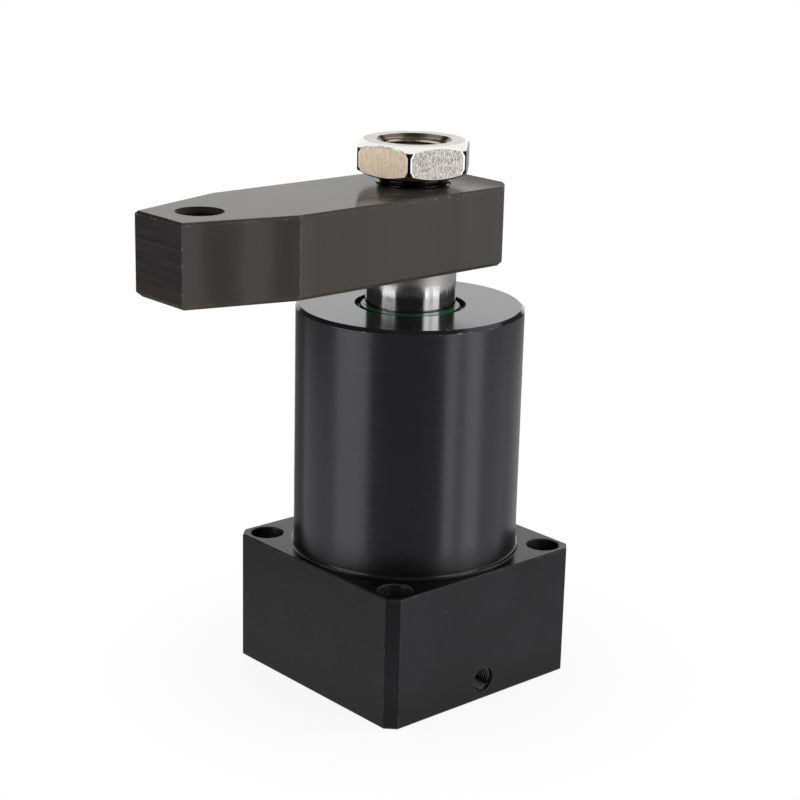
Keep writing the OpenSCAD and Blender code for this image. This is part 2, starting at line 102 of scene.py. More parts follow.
# Dark cards that only reflections show, given the same way
CARD_DISTANCE = 0.95
DARK, BLACK = 0.05, 0.03
CARDS = {
    "card_by_camera": (-37, 33, -0.11, 0.85, BLACK),
    "card_right": (77, 115, -0.11, -0.02, BLACK),
    "card_right_high": (77, 115, 0.2, 0.8, BLACK),
    "card_right_back": (115, 165, -0.11, -0.02, BLACK),
    "card_right_back_high": (115, 152, 0.2, 0.8, BLACK),
    "card_left": (-122, -75, -0.12, 1.0, DARK),
    "card_left_back": (-148, -121, -0.12, 1.0, DARK),
}


def mount(name):
    """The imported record's row of a mount."""
    return next(m for m in frame["record"]["mounts"] if m["name"] == name)


# Places on the body that its finish follows
BODY_TOP_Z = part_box("cylinder_body")[1].z
LEDGE_Z = 45 * MM
FOOT_RADIUS = 39.2 * MM
HOLE_RADIUS = mount("base_bolts")["dims"]["hole_r_mm"] * MM
HOLE_ASIDE = mount("base_bolts")["dims"]["spacing_x_mm"] * MM / 2
PORT_PLACE = mount("port_front")["pos_m"]
PORT_FACE_Y = 40.6 * MM
PORT_SHADE_REACH = 4.8 * MM
WIPER_LIP_RADIUS = 16.5 * MM

# Places on the arm and the rod
ARM_LOW, ARM_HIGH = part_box("clamp_arm")
ROD_TOP_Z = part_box("piston_rod")[1].z
SATIN_Z = ARM_LOW.z - 8.7 * MM
SAW_LINE_Z = ARM_HIGH.z - 8.4 * MM
SHOULDER_X = -64.5 * MM
# Painted reflection bands on the arm's tapered sides: their period along the arm and their shift
REFLECTION_BAND_PERIOD = 19.6 * MM
REFLECTION_BAND_SHIFT = 4.55 * MM
TIP_HOLE = mount("arm_tip_thread")["pos_m"]
TIP_HOLE_SHADE_REACH = 7.6 * MM

# Places on the arm's nut: its flats reach furthest out at half its height
NUT_LOW, NUT_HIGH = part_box("arm_nut")
NUT_MIDDLE_Z = (NUT_LOW.z + NUT_HIGH.z) / 2
NUT_FLAT_WIDE_RADIUS = 19.88 * MM
NUT_FLAT_NARROW_RADIUS = 19.5 * MM
NUT_CORNER_RADIUS = 19.6 * MM
NUT_COUNTERSINK_RADIUS = 12.4 * MM
NUT_BORE_RADIUS = 11.3 * MM
# The flat that faces this way carries painted warm light
NUT_PAINTED_LIGHT_TURN = math.radians(194)
NUT_PAINTED_LIGHT_SIDE = Vector((math.cos(NUT_PAINTED_LIGHT_TURN), math.sin(NUT_PAINTED_LIGHT_TURN), 0))

# Threads
PORT_THREAD = {"depth": 0.45 * MM, "pitch": 0.907 * MM, "inset": 0.4 * MM}
TIP_THREAD = {"depth": 0.7 * MM, "pitch": 2.0 * MM, "inset": 0.2 * MM}
ROD_PITCH = 1.5 * MM
ROD_CORE_RADIUS = 11.08 * MM
ROD_CREST_RADIUS = 12.0 * MM
NUT_ROOT_RADIUS = 11.1 * MM
NUT_CREST_RADIUS = 10.5 * MM
STEPS_A_TURN = 48
FEWEST_STEPS = 8
FADE_TURNS = 0.5
HALF_ROOT = 0.46  # of the pitch
HALF_CREST = 0.08  # of the pitch
ROOT_SINK = 0.05 * MM  # how far a thread's root sits in the wall it belongs to

# Colours as linear red, green and blue, with pairs from one shade to the other
BODY = SimpleNamespace(
    base=((0.0174, 0.0172, 0.019), (0.0217, 0.0214, 0.0238)),
    base_low_shade=(0.0123, 0.0121, 0.0134),
    base_edge=(0.04, 0.0395, 0.042),
    side=((0.0405, 0.0402, 0.0445), (0.0455, 0.0452, 0.0495)),
    side_low_shade=(0.014, 0.014, 0.015),
    foot=(0.032, 0.032, 0.0335),
    top=(0.14, 0.14, 0.142),
    speck=(0.12, 0.116, 0.112),
    worn=(0.18, 0.175, 0.17),
    glint=(0.75, 0.75, 0.77),
    hole_mouth=(0.13, 0.127, 0.122),
    hole_wall=((0.035, 0.035, 0.0365), (0.06, 0.0595, 0.061)),
    port_shade=(0.006, 0.006, 0.006),
)
ARM = SimpleNamespace(
    gloss=(1.0, 0.965, 0.93),
    side=((0.059, 0.0557, 0.052), (0.0693, 0.0662, 0.062)),
    streaks=((0.042, 0.0372, 0.0334), (0.0735, 0.067, 0.064)),
    stain=(0.065, 0.056, 0.048),
    tip_sawn_and_shaded=((0.022, 0.02, 0.0202), (0.032, 0.0292, 0.0288)),
    tip_low=(0.036, 0.03, 0.0255),
    saw_line=(0.075, 0.07, 0.068),
    top=((0.078, 0.064, 0.054), (0.11, 0.091, 0.078)),
    worn=(0.17, 0.16, 0.148),
    nick=(0.26, 0.245, 0.225),
    # hole: painted shade in the arm's threaded hole
    hole=(0.016, 0.0142, 0.0135),
)
NUT = SimpleNamespace(
    brushed=((0.24, 0.225, 0.205), (0.7, 0.67, 0.625)),
    painted_warm_lit=((0.65, 0.536, 0.4), (0.85, 0.714, 0.547)),
    top=((0.46, 0.438, 0.405), (0.58, 0.558, 0.522)),
    chamfer=(0.9, 0.885, 0.85),
    scuff=(0.3, 0.26, 0.21),
    # rim: painted highlight along the flats' ends and sharp edges
    rim=(0.97, 0.96, 0.93),
    bruise=(0.15, 0.125, 0.1),
    corner_dark_reflection=(0.022, 0.019, 0.016),
    countersink_shade=(0.17, 0.142, 0.115),
    bore=(0.5, 0.42, 0.32),
)
ROD = SimpleNamespace(
    chrome=((0.7, 0.7, 0.71), (0.61, 0.595, 0.57)),
    satin=(0.58, 0.57, 0.555),
    collar=(0.66, 0.645, 0.62),
    # thread: painted shade on the rod's thread under the nut
    thread=(0.05, 0.047, 0.043),
)
WIPER = SimpleNamespace(
    case=(0.009, 0.009, 0.009),
    lip=((0.012, 0.13, 0.045), (0.025, 0.19, 0.075)),
)


class Finish:
    """One node-based material, built up from small steps."""

    def __init__(self, name, metallic=0.0, specular=0.5):
        self.material = bpy.data.materials.new(name)
        self.material.use_nodes = True
        self.tree = self.material.node_tree
        self.shader = self.tree.nodes["Principled BSDF"]
        self.set("Metallic", metallic)
        self.set("Specular IOR Level", specular)
        coordinates = self.tree.nodes.new("ShaderNodeTexCoord")
        self.place = coordinates.outputs["Object"]
        self.facing = coordinates.outputs["Normal"]

    def set(self, socket, value):
        """Sets or links one of the surface shader's sockets."""
        self.feed(self.shader.inputs[socket], value)

    def feed(self, socket, value):
        """Sets or links any socket."""
        if isinstance(value, bpy.types.NodeSocket):
            self.tree.links.new(value, socket)
        elif socket.type == "RGBA" and len(value) == 3:
            socket.default_value = (*value, 1)
        else:
            socket.default_value = value

    def add(self, kind, *values, **settings):
        """A new node with its settings, its first sockets fed in order."""
        node = self.tree.nodes.new("ShaderNode" + kind)
        for key, setting in settings.items():
            setattr(node, key, setting)
        for socket, value in zip(node.inputs, values):
            if value is not None:
                self.feed(socket, value)
        return node

    def math(self, operation, a, b=None):
        return self.add("Math", a, b, operation=operation).outputs[0]

    def both(self, *shares):
        """The product of shares: 1 only where all of them are 1."""
        product = shares[0]
        for share in shares[1:]:
            product = self.math("MULTIPLY", product, share)
        return product

    def gap(self, value, middle):
        """How far a value is from a middle, to either side."""
        return self.math("ABSOLUTE", self.math("SUBTRACT", value, middle))

    def noise(self, per_metre, detail=3.0, along=(1, 1, 1), rough=0.55):
        """Cloudy noise, drawn out along the axes whose factor is small."""
        stretched = self.add("VectorMath", self.place, along, operation="MULTIPLY").outputs[0]
        node = self.add("TexNoise", stretched)
        node.inputs["Scale"].default_value = per_metre
        node.inputs["Detail"].default_value = detail
        node.inputs["Roughness"].default_value = rough
        return node.outputs["Fac"]

    def ramp(self, value, low, high, start=0.0, end=1.0):
        """The value's way from low to high, drawn out from start to end and clamped."""
        node = self.add("MapRange", value, low, high, start, end, interpolation_type="SMOOTHSTEP")
        return node.outputs[0]

    def spread(self, noise, start=0.0, end=1.0, reach=0.2):
        """A noise's middle range, drawn out from start to end."""
        return self.ramp(noise, 0.5 - reach, 0.5 + reach, start, end)

    def between(self, share, first, second):
        """A number between the first and the second."""
        return self.add("MapRange", share, 0.0, 1.0, first, second).outputs[0]

    def blend(self, share, first, second):
        """A colour between the first and the second."""
        node = self.add("Mix", data_type="RGBA")
        colours = [s for s in node.inputs if s.type == "RGBA"]
        self.feed(node.inputs["Factor"], share)
        self.feed(colours[0], first)
        self.feed(colours[1], second)
        return next(s for s in node.outputs if s.type == "RGBA")

    def part_of(self, vector, axis):
        return self.add("SeparateXYZ", vector).outputs[axis]

    def distance(self, place, middle, counted):
        """Distance of a place from a middle, along the counted axes only."""
        away = self.add("VectorMath", place, tuple(middle), operation="SUBTRACT").outputs[0]
        flat = self.add("VectorMath", away, counted, operation="MULTIPLY").outputs[0]
        return self.add("VectorMath", flat, operation="LENGTH").outputs["Value"]

    def radius(self, axis=ROD_AXIS):
        """Distance from an upright axis."""
        return self.distance(self.place, axis, (1, 1, 0))

    def near_axis(self, axis, reach):
        """1 within the reach of an upright axis."""
        return self.ramp(self.radius(axis), reach, reach - 0.1 * MM)

    def along(self, vector, direction):
        """How far a vector reaches in a direction."""
        return self.add("VectorMath", vector, direction, operation="DOT_PRODUCT").outputs["Value"]

    def towards(self, direction):
        """How far the surface faces a direction, from -1 to 1."""
        return self.along(self.facing, direction)

    def edges(self, width):
        """Strong at sharp edges, over about that width, and nothing on plain faces."""
        rounded = self.add("Bevel", width, samples=6).outputs[0]
        plain = self.add("NewGeometry").outputs["Normal"]
        return self.ramp(self.along(rounded, plain), 0.995, 0.93)

    def bump(self, height, depth):
        """Relief of that depth, at full strength."""
        node = self.add("Bump", 1.0, depth)
        self.feed(node.inputs["Height"], height)
        self.set("Normal", node.outputs[0])

    def turned(self, anisotropy):
        """Highlights drawn out across the turning marks round the rod's axis."""
        tangent = self.add("Tangent", direction_type="RADIAL", axis="Z").outputs[0]
        self.set("Tangent", tangent)
        self.set("Anisotropic", anisotropy)
        self.set("Anisotropic Rotation", 0.25)


def body_zones(f):
    """Where the body is turned, milled, polished or bright, and where shade is painted low on the base
    and the cylinder, as shares from 0 to 1.
    """
    height = f.part_of(f.place, "Z")
    upward = f.towards(UP)
    level = f.ramp(upward, 0.8, 0.95)
    polished = f.ramp(upward, 0.15, 0.4)
    on_cylinder = f.ramp(height, LEDGE_Z, LEDGE_Z + 1 * MM)
    at_foot = f.ramp(height, LEDGE_Z + 1.2 * MM, LEDGE_Z + 1 * MM)
    at_rim = f.ramp(height, BODY_TOP_Z - 1.8 * MM, BODY_TOP_Z - 1.5 * MM)
    return SimpleNamespace(
        level=level,
        polished=polished,
        on_cylinder=on_cylinder,
        up_cylinder=f.ramp(height, LEDGE_Z, LEDGE_Z + 12 * MM),
        low_base_shade=f.ramp(height, 16 * MM, 0),
        on_top=f.both(level, on_cylinder),
        foot=f.both(at_foot, polished, f.near_axis(ROD_AXIS, FOOT_RADIUS)),
        broken_edge=f.both(polished, f.ramp(upward, 0.9, 0.8)),
        glint=f.both(f.edges(0.3 * MM), f.ramp(f.noise(380, 3), 0.6, 0.66), at_rim),
    )


def body_marks(f):
    """Tool marks and clouds of the body."""
    return SimpleNamespace(
        turning=f.noise(3000, 2, along=(0.01, 0.01, 1)),
        milling=f.noise(900, 3, along=(0.3, 0.3, 1)),
        cloud=f.noise(45, 3),
    )


def body_holes(f, colour):
    """Drilled walls and rubbed mouths of the mounting holes, and painted shade inside the oil ports."""
    mirrored = f.add("VectorMath", f.place, operation="ABSOLUTE").outputs[0]
    from_hole = f.distance(mirrored, (HOLE_ASIDE, HOLE_ASIDE, 0), (1, 1, 0))
    mouth = f.ramp(from_hole, HOLE_RADIUS + 0.6 * MM, HOLE_RADIUS + 0.4 * MM)
    rubbed = f.both(mouth, f.ramp(f.noise(420, 4), 0.42, 0.6))
    colour = f.blend(f.both(rubbed, 0.5), colour, BODY.hole_mouth)
    drilling = f.noise(900, 2, along=(1, 1, 0.05))
    wall = f.blend(f.spread(drilling, reach=0.15), *BODY.hole_wall)
    in_hole = f.ramp(from_hole, HOLE_RADIUS + 0.07 * MM, HOLE_RADIUS + 0.03 * MM)
    colour = f.blend(in_hole, colour, wall)
    # painted shade: near black inside the oil ports
    from_port = f.distance(f.place, PORT_PLACE, (1, 0, 1))
    inside = f.math("LESS_THAN", f.math("ABSOLUTE", f.part_of(f.place, "Y")), PORT_FACE_Y)
    in_port_shade = f.both(inside, f.ramp(from_port, PORT_SHADE_REACH, PORT_SHADE_REACH - 0.1 * MM))
    return f.blend(in_port_shade, colour, BODY.port_shade)


def body_colour(f, zones, marks):
    base = f.blend(f.spread(marks.cloud), *BODY.base)
    # painted shade: the base darker towards the bottom
    base = f.blend(zones.low_base_shade, base, BODY.base_low_shade)
    base = f.blend(zones.broken_edge, base, BODY.base_edge)
    side = f.blend(f.spread(marks.turning), *BODY.side)
    # painted shade: the cylinder's side darker just above the ledge
    side = f.blend(zones.up_cylinder, BODY.side_low_shade, side)
    colour = f.blend(zones.on_cylinder, base, side)
    colour = f.blend(zones.foot, colour, BODY.foot)
    colour = f.blend(zones.on_top, colour, BODY.top)
    specks = f.ramp(f.noise(600, 1), 0.79, 0.83)
    colour = f.blend(f.both(specks, 0.4), colour, BODY.speck)
    worn = f.both(f.edges(0.45 * MM), f.ramp(f.noise(260, 4), 0.42, 0.62))
    colour = f.blend(f.both(worn, 0.5), colour, BODY.worn)
    colour = f.blend(zones.glint, colour, BODY.glint)
    return body_holes(f, colour)


def body_roughness(f, zones, marks):
    base = f.spread(marks.milling, 0.49, 0.54)
    ledge = f.spread(marks.cloud, 0.18, 0.22)
    base = f.between(f.math("MAXIMUM", zones.level, zones.foot), base, ledge)
    side = f.math("ADD", f.spread(marks.turning, 0.22, 0.27), f.spread(marks.cloud, -0.02, 0.02))
    side = f.between(zones.up_cylinder, 0.4, side)
    side = f.between(zones.polished, side, f.spread(marks.turning, 0.12, 0.17))
    rough = f.between(zones.on_cylinder, base, side)
    return f.between(zones.glint, rough, 0.55)


def body_black():
    """Black oxide: turned on the cylinder, milled on the base, burnished on the top face."""
    f = Finish("body_black")
    zones = body_zones(f)
    marks = body_marks(f)
    f.set("Base Color", body_colour(f, zones, marks))
    f.set("Metallic", f.between(zones.on_top, f.between(zones.on_cylinder, 0.75, 0.62), 1.0))
    f.set("Roughness", body_roughness(f, zones, marks))
    f.bump(f.between(zones.on_cylinder, f.both(marks.milling, 0.5), marks.turning), 0.003 * MM)
    f.turned(0.4)
    return f.material


def arm_sides(f):
    """Milled sides, with painted reflection bands on the tapered ones."""
    drift = f.spread(f.noise(90, 3, along=(1, 1, 0.3)), -0.6, 0.6, reach=0.3)
    # painted reflection: upright light and dark bands along the tapered sides
    shifted = f.math("ADD", f.part_of(f.place, "X"), REFLECTION_BAND_SHIFT)
    turns = f.math("MULTIPLY", shifted, 2 * math.pi / REFLECTION_BAND_PERIOD)
    reflection_band = f.math("SINE", f.math("ADD", turns, drift))
    streaks = f.blend(f.ramp(reflection_band, -1, 1), *ARM.streaks)
    plain = f.blend(f.spread(f.noise(60, 2, along=(1, 1, 0.05))), *ARM.side)
    tapered = f.ramp(f.math("ABSOLUTE", f.towards(TIPWARD)), 0.15, 0.25)
    colour = f.blend(tapered, plain, streaks)
    return f.blend(f.ramp(f.noise(55, 4), 0.45, 0.8, 0, 0.5), colour, ARM.stain)


def arm_tip(f, sawing):
    """The sawn end: dark, partly as painted shade on a face turned from the light, browner low down,
    with one light line left by the saw.
    """
    height = f.part_of(f.place, "Z")
    # partly painted shade: the sawn end darker than the sides
    colour = f.blend(f.spread(sawing, reach=0.15), *ARM.tip_sawn_and_shaded)
    low = f.ramp(height, ARM_LOW.z + 9 * MM, ARM_LOW.z, 0, 0.7)
    colour = f.blend(low, colour, ARM.tip_low)
    on_line = f.ramp(f.gap(height, SAW_LINE_Z), 0.3 * MM, 0.1 * MM, 0, 0.4)
    return f.blend(on_line, colour, ARM.saw_line)


def arm_wear(f, colour, upward):
    """Rubbed edges and shoulders, and small nicks that are weaker low down."""
    rubbed = f.both(f.edges(0.5 * MM), f.spread(f.noise(160, 4), reach=0.15))
    on_shoulder = f.ramp(f.gap(f.part_of(f.place, "X"), SHOULDER_X), 0.35 * MM, 0.1 * MM)
    patchy = f.ramp(f.noise(420, 4), 0.35, 0.6, 0.25, 1.0)
    crease = f.both(on_shoulder, f.math("SUBTRACT", 1.0, upward), patchy)
    colour = f.blend(f.both(f.math("MAXIMUM", rubbed, crease), 0.45), colour, ARM.worn)
    nicks = f.both(f.edges(1.1 * MM), f.ramp(f.noise(600, 3), 0.58, 0.65))
    upper = f.ramp(f.part_of(f.place, "Z"), ARM_LOW.z + 3 * MM, ARM_LOW.z + 6 * MM, 0.25, 0.7)
    return f.blend(f.both(nicks, upper), colour, ARM.nick)


def arm_top_roughness(f, smear):
    """Smeared along the arm, and duller behind the nut."""
    lengthwise = f.noise(1100, 3, along=(0.04, 1, 1))
    rough = f.math("ADD", f.spread(smear, 0.11, 0.19), f.spread(lengthwise, 0, 0.03, reach=0.15))
    behind = f.ramp(f.part_of(f.place, "X"), 2 * MM, 30 * MM, 0, 0.4)
    return f.math("ADD", rough, behind)


def arm_black():
    """Warm black oxide on milled steel, with a sawn dark end that is partly painted shade, painted
    shade in the threaded hole, painted reflection bands on the tapered sides, and light nicked edges.
    """
    f = Finish("arm_black", specular=0.13)
    f.set("Specular Tint", ARM.gloss)
    upward = f.ramp(f.towards(UP), 0.8, 0.95)
    tip_end = f.ramp(f.towards(TIPWARD), 0.6, 0.68)
    milling = f.noise(700, 3, along=(1, 1, 0.12))
    sawing = f.noise(420, 3, along=(1, 0.05, 1))
    smear = f.noise(140, 4, along=(0.5, 1, 1), rough=0.7)
    colour = f.blend(tip_end, arm_sides(f), arm_tip(f, sawing))
    colour = f.blend(upward, colour, f.blend(f.spread(smear, reach=0.15), *ARM.top))
    colour = arm_wear(f, colour, upward)
    # painted shade: near black in and round the threaded hole at the arm's end
    f.set("Base Color", f.blend(f.near_axis(TIP_HOLE, TIP_HOLE_SHADE_REACH), colour, ARM.hole))
    f.set("Roughness", f.between(upward, f.spread(milling, 0.46, 0.56), arm_top_roughness(f, smear)))
    f.bump(f.between(upward, f.between(tip_end, milling, sawing), 0.5), 0.006 * MM)
    return f.material


def nut_zones(f):
    """The nut's flats, the one with painted warm light, the painted highlights at their rim and the
    painted dark reflection in the corners beyond them.
    """
    flats = f.ramp(f.math("ABSOLUTE", f.towards(UP)), 0.2, 0.1)
    painted_warm_light = f.ramp(f.towards(NUT_PAINTED_LIGHT_SIDE), 0.75, 0.97)
    from_middle = f.gap(f.part_of(f.place, "Z"), NUT_MIDDLE_Z)
    flat_end = f.ramp(from_middle, 1.9 * MM, 3.6 * MM, NUT_FLAT_WIDE_RADIUS, NUT_FLAT_NARROW_RADIUS)
    beyond = f.math("SUBTRACT", f.radius(), f.between(flats, NUT_CORNER_RADIUS, flat_end))
    near_end = f.ramp(beyond, -0.22 * MM, -0.14 * MM)
    return SimpleNamespace(
        flats=flats,
        painted_warm_light=painted_warm_light,
        painted_rim_highlights=f.both(near_end, f.between(painted_warm_light, 1.0, 0.4), flats),
        # painted reflection: dark bands at the corners between the flats
        corners=f.ramp(beyond, 0, 0.1 * MM),
    )


def nut_faces(f, zones, fine, coarse):
    """Brushed flats, one with painted warm light, bright chamfers and a duller top, with a few scuffs.
    """
    brushed = f.blend(f.spread(coarse, reach=0.1), *NUT.brushed)
    # painted light: one flat lighter and warmer
    painted_warm_lit = f.blend(f.spread(fine, reach=0.15), *NUT.painted_warm_lit)
    brushed = f.blend(zones.painted_warm_light, brushed, painted_warm_lit)
    top = f.blend(f.spread(f.noise(170, 3), reach=0.15), *NUT.top)
    faced = f.blend(f.ramp(f.towards(UP), 0.92, 0.97), NUT.chamfer, top)
    colour = f.blend(zones.flats, faced, brushed)
    scuffs = f.ramp(f.noise(420, 3, along=(1, 1, 2), rough=0.75), 0.66, 0.7)
    return f.blend(f.both(scuffs, 0.6), colour, NUT.scuff)


def nut_bruises(f):
    """Dark bruises along the upper edge of the flat with painted warm light."""
    upper = f.ramp(f.part_of(f.place, "Z"), NUT_MIDDLE_Z + 2 * MM, NUT_MIDDLE_Z + 3 * MM)
    near_flat = f.ramp(f.along(f.place, NUT_PAINTED_LIGHT_SIDE), 16.4 * MM, 16.9 * MM)
    patchy = f.ramp(f.noise(800, 3, rough=0.7), 0.45, 0.52)
    return f.both(f.edges(1.4 * MM), upper, near_flat, patchy)


def nut_nickel():
    """Bright nickel: brushed flats, one of them with painted warm light, painted highlights on their
    rim and sharp edges, painted dark reflection in the corners, painted shade in the cone round the
    bore, and a darker bore.
    """
    f = Finish("nut_nickel", metallic=1.0)
    zones = nut_zones(f)
    fine = f.noise(3200, 3, along=(1, 1, 0.12), rough=0.7)
    coarse = f.noise(4000, 2, along=(1, 1, 0.26), rough=0.7)
    colour = nut_faces(f, zones, fine, coarse)
    # painted highlights along the flats' ends and on sharp edges
    colour = f.blend(f.math("MAXIMUM", zones.painted_rim_highlights, f.edges(0.4 * MM)), colour, NUT.rim)
    colour = f.blend(f.both(nut_bruises(f), 0.8), colour, NUT.bruise)
    # painted dark reflection in the corners
    colour = f.blend(zones.corners, colour, NUT.corner_dark_reflection)
    # painted shade in the cone round the bore
    colour = f.blend(f.near_axis(ROD_AXIS, NUT_COUNTERSINK_RADIUS), colour, NUT.countersink_shade)
    colour = f.blend(f.near_axis(ROD_AXIS, NUT_BORE_RADIUS), colour, NUT.bore)
    f.set("Base Color", colour)
    smooth, brushed = f.spread(fine, 0.16, 0.24), f.spread(coarse, 0.36, 0.5)
    f.set("Roughness", f.between(zones.flats, smooth, brushed))
    f.bump(f.both(zones.flats, f.math("ADD", fine, f.both(coarse, 2.0))), 0.02 * MM)
    return f.material


def rod_chrome():
    """Ground hard chrome with a faint oil film, satin towards the arm."""
    f = Finish("rod_chrome", metallic=1.0)
    height = f.part_of(f.place, "Z")
    grinding = f.noise(5000, 2, along=(0.02, 0.02, 1))
    film = f.noise(120, 4)
    strokes = f.noise(1100, 3, along=(1, 1, 0.1), rough=0.65)
    ragged = f.math("ADD", height, f.spread(strokes, -0.9 * MM, 0.9 * MM))
    satin = f.ramp(ragged, SATIN_Z - 1 * MM, SATIN_Z + 5 * MM)
    collar = f.ramp(height, SATIN_Z + 3.3 * MM, SATIN_Z + 3.7 * MM)
    # painted shade: the rod dark where it runs into the arm and shows under the nut
    thread = f.ramp(height, ARM_LOW.z, ARM_LOW.z + 1 * MM)
    colour = f.blend(f.ramp(film, 0.45, 0.75), *ROD.chrome)
    colour = f.blend(satin, colour, ROD.satin)
    colour = f.blend(collar, colour, ROD.collar)
    f.set("Base Color", f.blend(thread, colour, ROD.thread))
    polish = f.math("ADD", f.spread(grinding, 0.08, 0.12), f.ramp(film, 0.45, 0.8, 0, 0.05))
    by_wiper = f.ramp(height, BODY_TOP_Z + 6 * MM, BODY_TOP_Z + 2 * MM)
    rubbed = f.both(by_wiper, f.ramp(f.noise(2600, 2), 0.4, 0.65, 0.2, 0.6))
    polish = f.between(rubbed, polish, 0.22)
    f.set("Roughness", f.between(satin, polish, f.between(collar, 0.42, 0.6)))
    f.bump(grinding, 0.0015 * MM)
    f.turned(0.6)
    return f.material


def wiper_green():
    """Green lip, near black further out."""
    f = Finish("wiper_green", specular=0.8)
    lip = f.ramp(f.radius(), WIPER_LIP_RADIUS, WIPER_LIP_RADIUS - 0.2 * MM)
    grain = f.noise(900, 3)
    f.set("Base Color", f.blend(lip, WIPER.case, f.blend(f.spread(grain), *WIPER.lip)))
    f.set("Roughness", f.between(lip, 0.45, f.spread(grain, 0.16, 0.26)))
    f.bump(grain, 0.01 * MM)
    return f.material


def turned_steel(name, dark, light, roughness):
    """Bare or hardened metal with turning marks round the rod's axis."""
    f = Finish(name, metallic=1.0)
    rings = f.add("CombineXYZ", f.radius(), 0.0, f.part_of(f.place, "Z")).outputs[0]
    lathe = f.add("TexNoise", rings)
    lathe.inputs["Scale"].default_value = 2200
    marks = lathe.outputs["Fac"]
    f.set("Base Color", f.blend(f.spread(f.noise(80, 4)), dark, light))
    f.set("Roughness", f.spread(marks, roughness * 0.8, roughness * 1.2))
    f.bump(marks, 0.006 * MM)
    f.turned(0.4)
    return f.material


def moulded(name, dark, light, roughness, grain_per_metre, depth):
    """Rubber or plastic with a fine moulded grain."""
    f = Finish(name, specular=0.4)
    grain = f.noise(grain_per_metre, 4)
    f.set("Base Color", f.blend(f.spread(f.noise(120, 3)), dark, light))
    f.set("Roughness", f.spread(grain, roughness * 0.85, roughness * 1.1))
    f.bump(grain, depth)
    return f.material


def fabric_laminate():
    """Brown resin with the weave of its cloth showing through."""
    f = Finish("ring_brown", specular=0.35)
    upright = f.add("TexWave", f.place, wave_type="BANDS", bands_direction="Z")
    upright.inputs["Scale"].default_value = 500
    across = f.add("TexWave", f.place, wave_type="BANDS", bands_direction="DIAGONAL")
    across.inputs["Scale"].default_value = 400
    weave = f.both(upright.outputs["Fac"], across.outputs["Fac"])
    f.set("Base Color", f.blend(weave, (0.13, 0.065, 0.028), (0.27, 0.155, 0.075)))
    f.set("Roughness", f.ramp(weave, 0, 1, 0.6, 0.45))
    f.bump(weave, 0.02 * MM)
    return f.material


def thread_black(name, dark, light):
    """Oiled dark threads that catch light on their crests."""
    f = Finish(name)
    grain = f.noise(1500, 3)
    f.set("Base Color", f.blend(f.ramp(grain, 0.35, 0.7), dark, light))
    f.set("Roughness", f.spread(grain, 0.16, 0.3))
    f.bump(grain, 0.008 * MM)
    return f.material


def thread_steel(name, dark, light):
    """Cut threads of the rod or the nut, in the colours they are given."""
    f = Finish(name, metallic=1.0)
    grain = f.noise(1200, 3)
    f.set("Base Color", f.blend(f.ramp(grain, 0.35, 0.7), dark, light))
    f.set("Roughness", f.spread(grain, 0.16, 0.26))
    f.bump(grain, 0.003 * MM)
    return f.material


def dress_nodes():
    """Gives every carried-over node its finish."""
    cover = turned_steel("cover_steel", (0.34, 0.34, 0.36), (0.48, 0.48, 0.5), 0.34)
    guide = turned_steel("guide_steel", (0.34, 0.34, 0.37), (0.46, 0.46, 0.49), 0.22)
    ball = turned_steel("ball_steel", (0.66, 0.66, 0.68), (0.76, 0.76, 0.78), 0.1)
    bronze = turned_steel("bronze", (0.5, 0.31, 0.14), (0.66, 0.45, 0.23), 0.32)
    rubber = moulded("seal_rubber", (0.014, 0.014, 0.014), (0.026, 0.026, 0.026), 0.62, 1500, 0.01 * MM)
    blue = moulded("seal_blue", (0.03, 0.09, 0.29), (0.05, 0.15, 0.4), 0.45, 1200, 0.008 * MM)
    ivory = moulded("ring_ivory", (0.72, 0.69, 0.58), (0.84, 0.81, 0.71), 0.5, 1800, 0.006 * MM)
    teal = moulded("ring_teal", (0.045, 0.27, 0.25), (0.075, 0.36, 0.34), 0.4, 1600, 0.006 * MM)
    finishes = {
        "cylinder_body": body_black(),
        "bottom_cover": cover,
        "cover_o_ring": rubber,
        "passage_plug": cover,
        "rod_bush": bronze,
        "rod_seal": blue,
        "seal_backup_ring": ivory,
        "rod_wiper": wiper_green(),
        "guide_pins": guide,
        "guide_sleeve": guide,
        "guide_balls": ball,
        "piston": cover,
        "piston_slide_ring": teal,
        "piston_energizer": rubber,
        "piston_wear_ring": fabric_laminate(),
        "thrust_washer": bronze,
        "spigot_seal": rubber,
        "piston_rod": rod_chrome(),
        "piston_nut": cover,
        "clamp_arm": arm_black(),
        "arm_nut": nut_nickel(),
    }
    for name, finish in finishes.items():
        for place in frame["nodes"][name].material_slots:
            place.material = finish


def ridge_points(start, along, root_r, crest_r, pitch, steps):
    """The four corners of a thread's section, at each step along its helix."""
    along = Vector(along).normalized()
    aside = along.orthogonal().normalized()
    across = along.cross(aside)
    fade_steps = FADE_TURNS * STEPS_A_TURN
    root, top = HALF_ROOT * pitch, HALF_CREST * pitch
    points = []
    for i in range(steps + 1):
        share = min(1, i / fade_steps, (steps - i) / fade_steps)
        angle = 2 * math.pi * i / STEPS_A_TURN
        outward = aside * math.cos(angle) + across * math.sin(angle)
        middle = pitch * (0.5 + i / STEPS_A_TURN)
        crest = root_r + (crest_r - root_r) * share
        section = [(root_r, -root), (crest, -top), (crest, top), (root_r, root)]
        points += [Vector(start) + outward * r + along * (middle + rise) for r, rise in section]
    return points


def ridge_faces(steps, inward):
    """Four sides a step and the two ends."""
    faces = []
    for first in range(0, 4 * steps, 4):
        for k in range(4):
            a, b = first + k, first + (k + 1) % 4
            faces.append((a, b, b + 4, a + 4))
    last = 4 * steps
    faces += [(3, 2, 1, 0), (last, last + 1, last + 2, last + 3)]
    return [face[::-1] for face in faces] if inward else faces


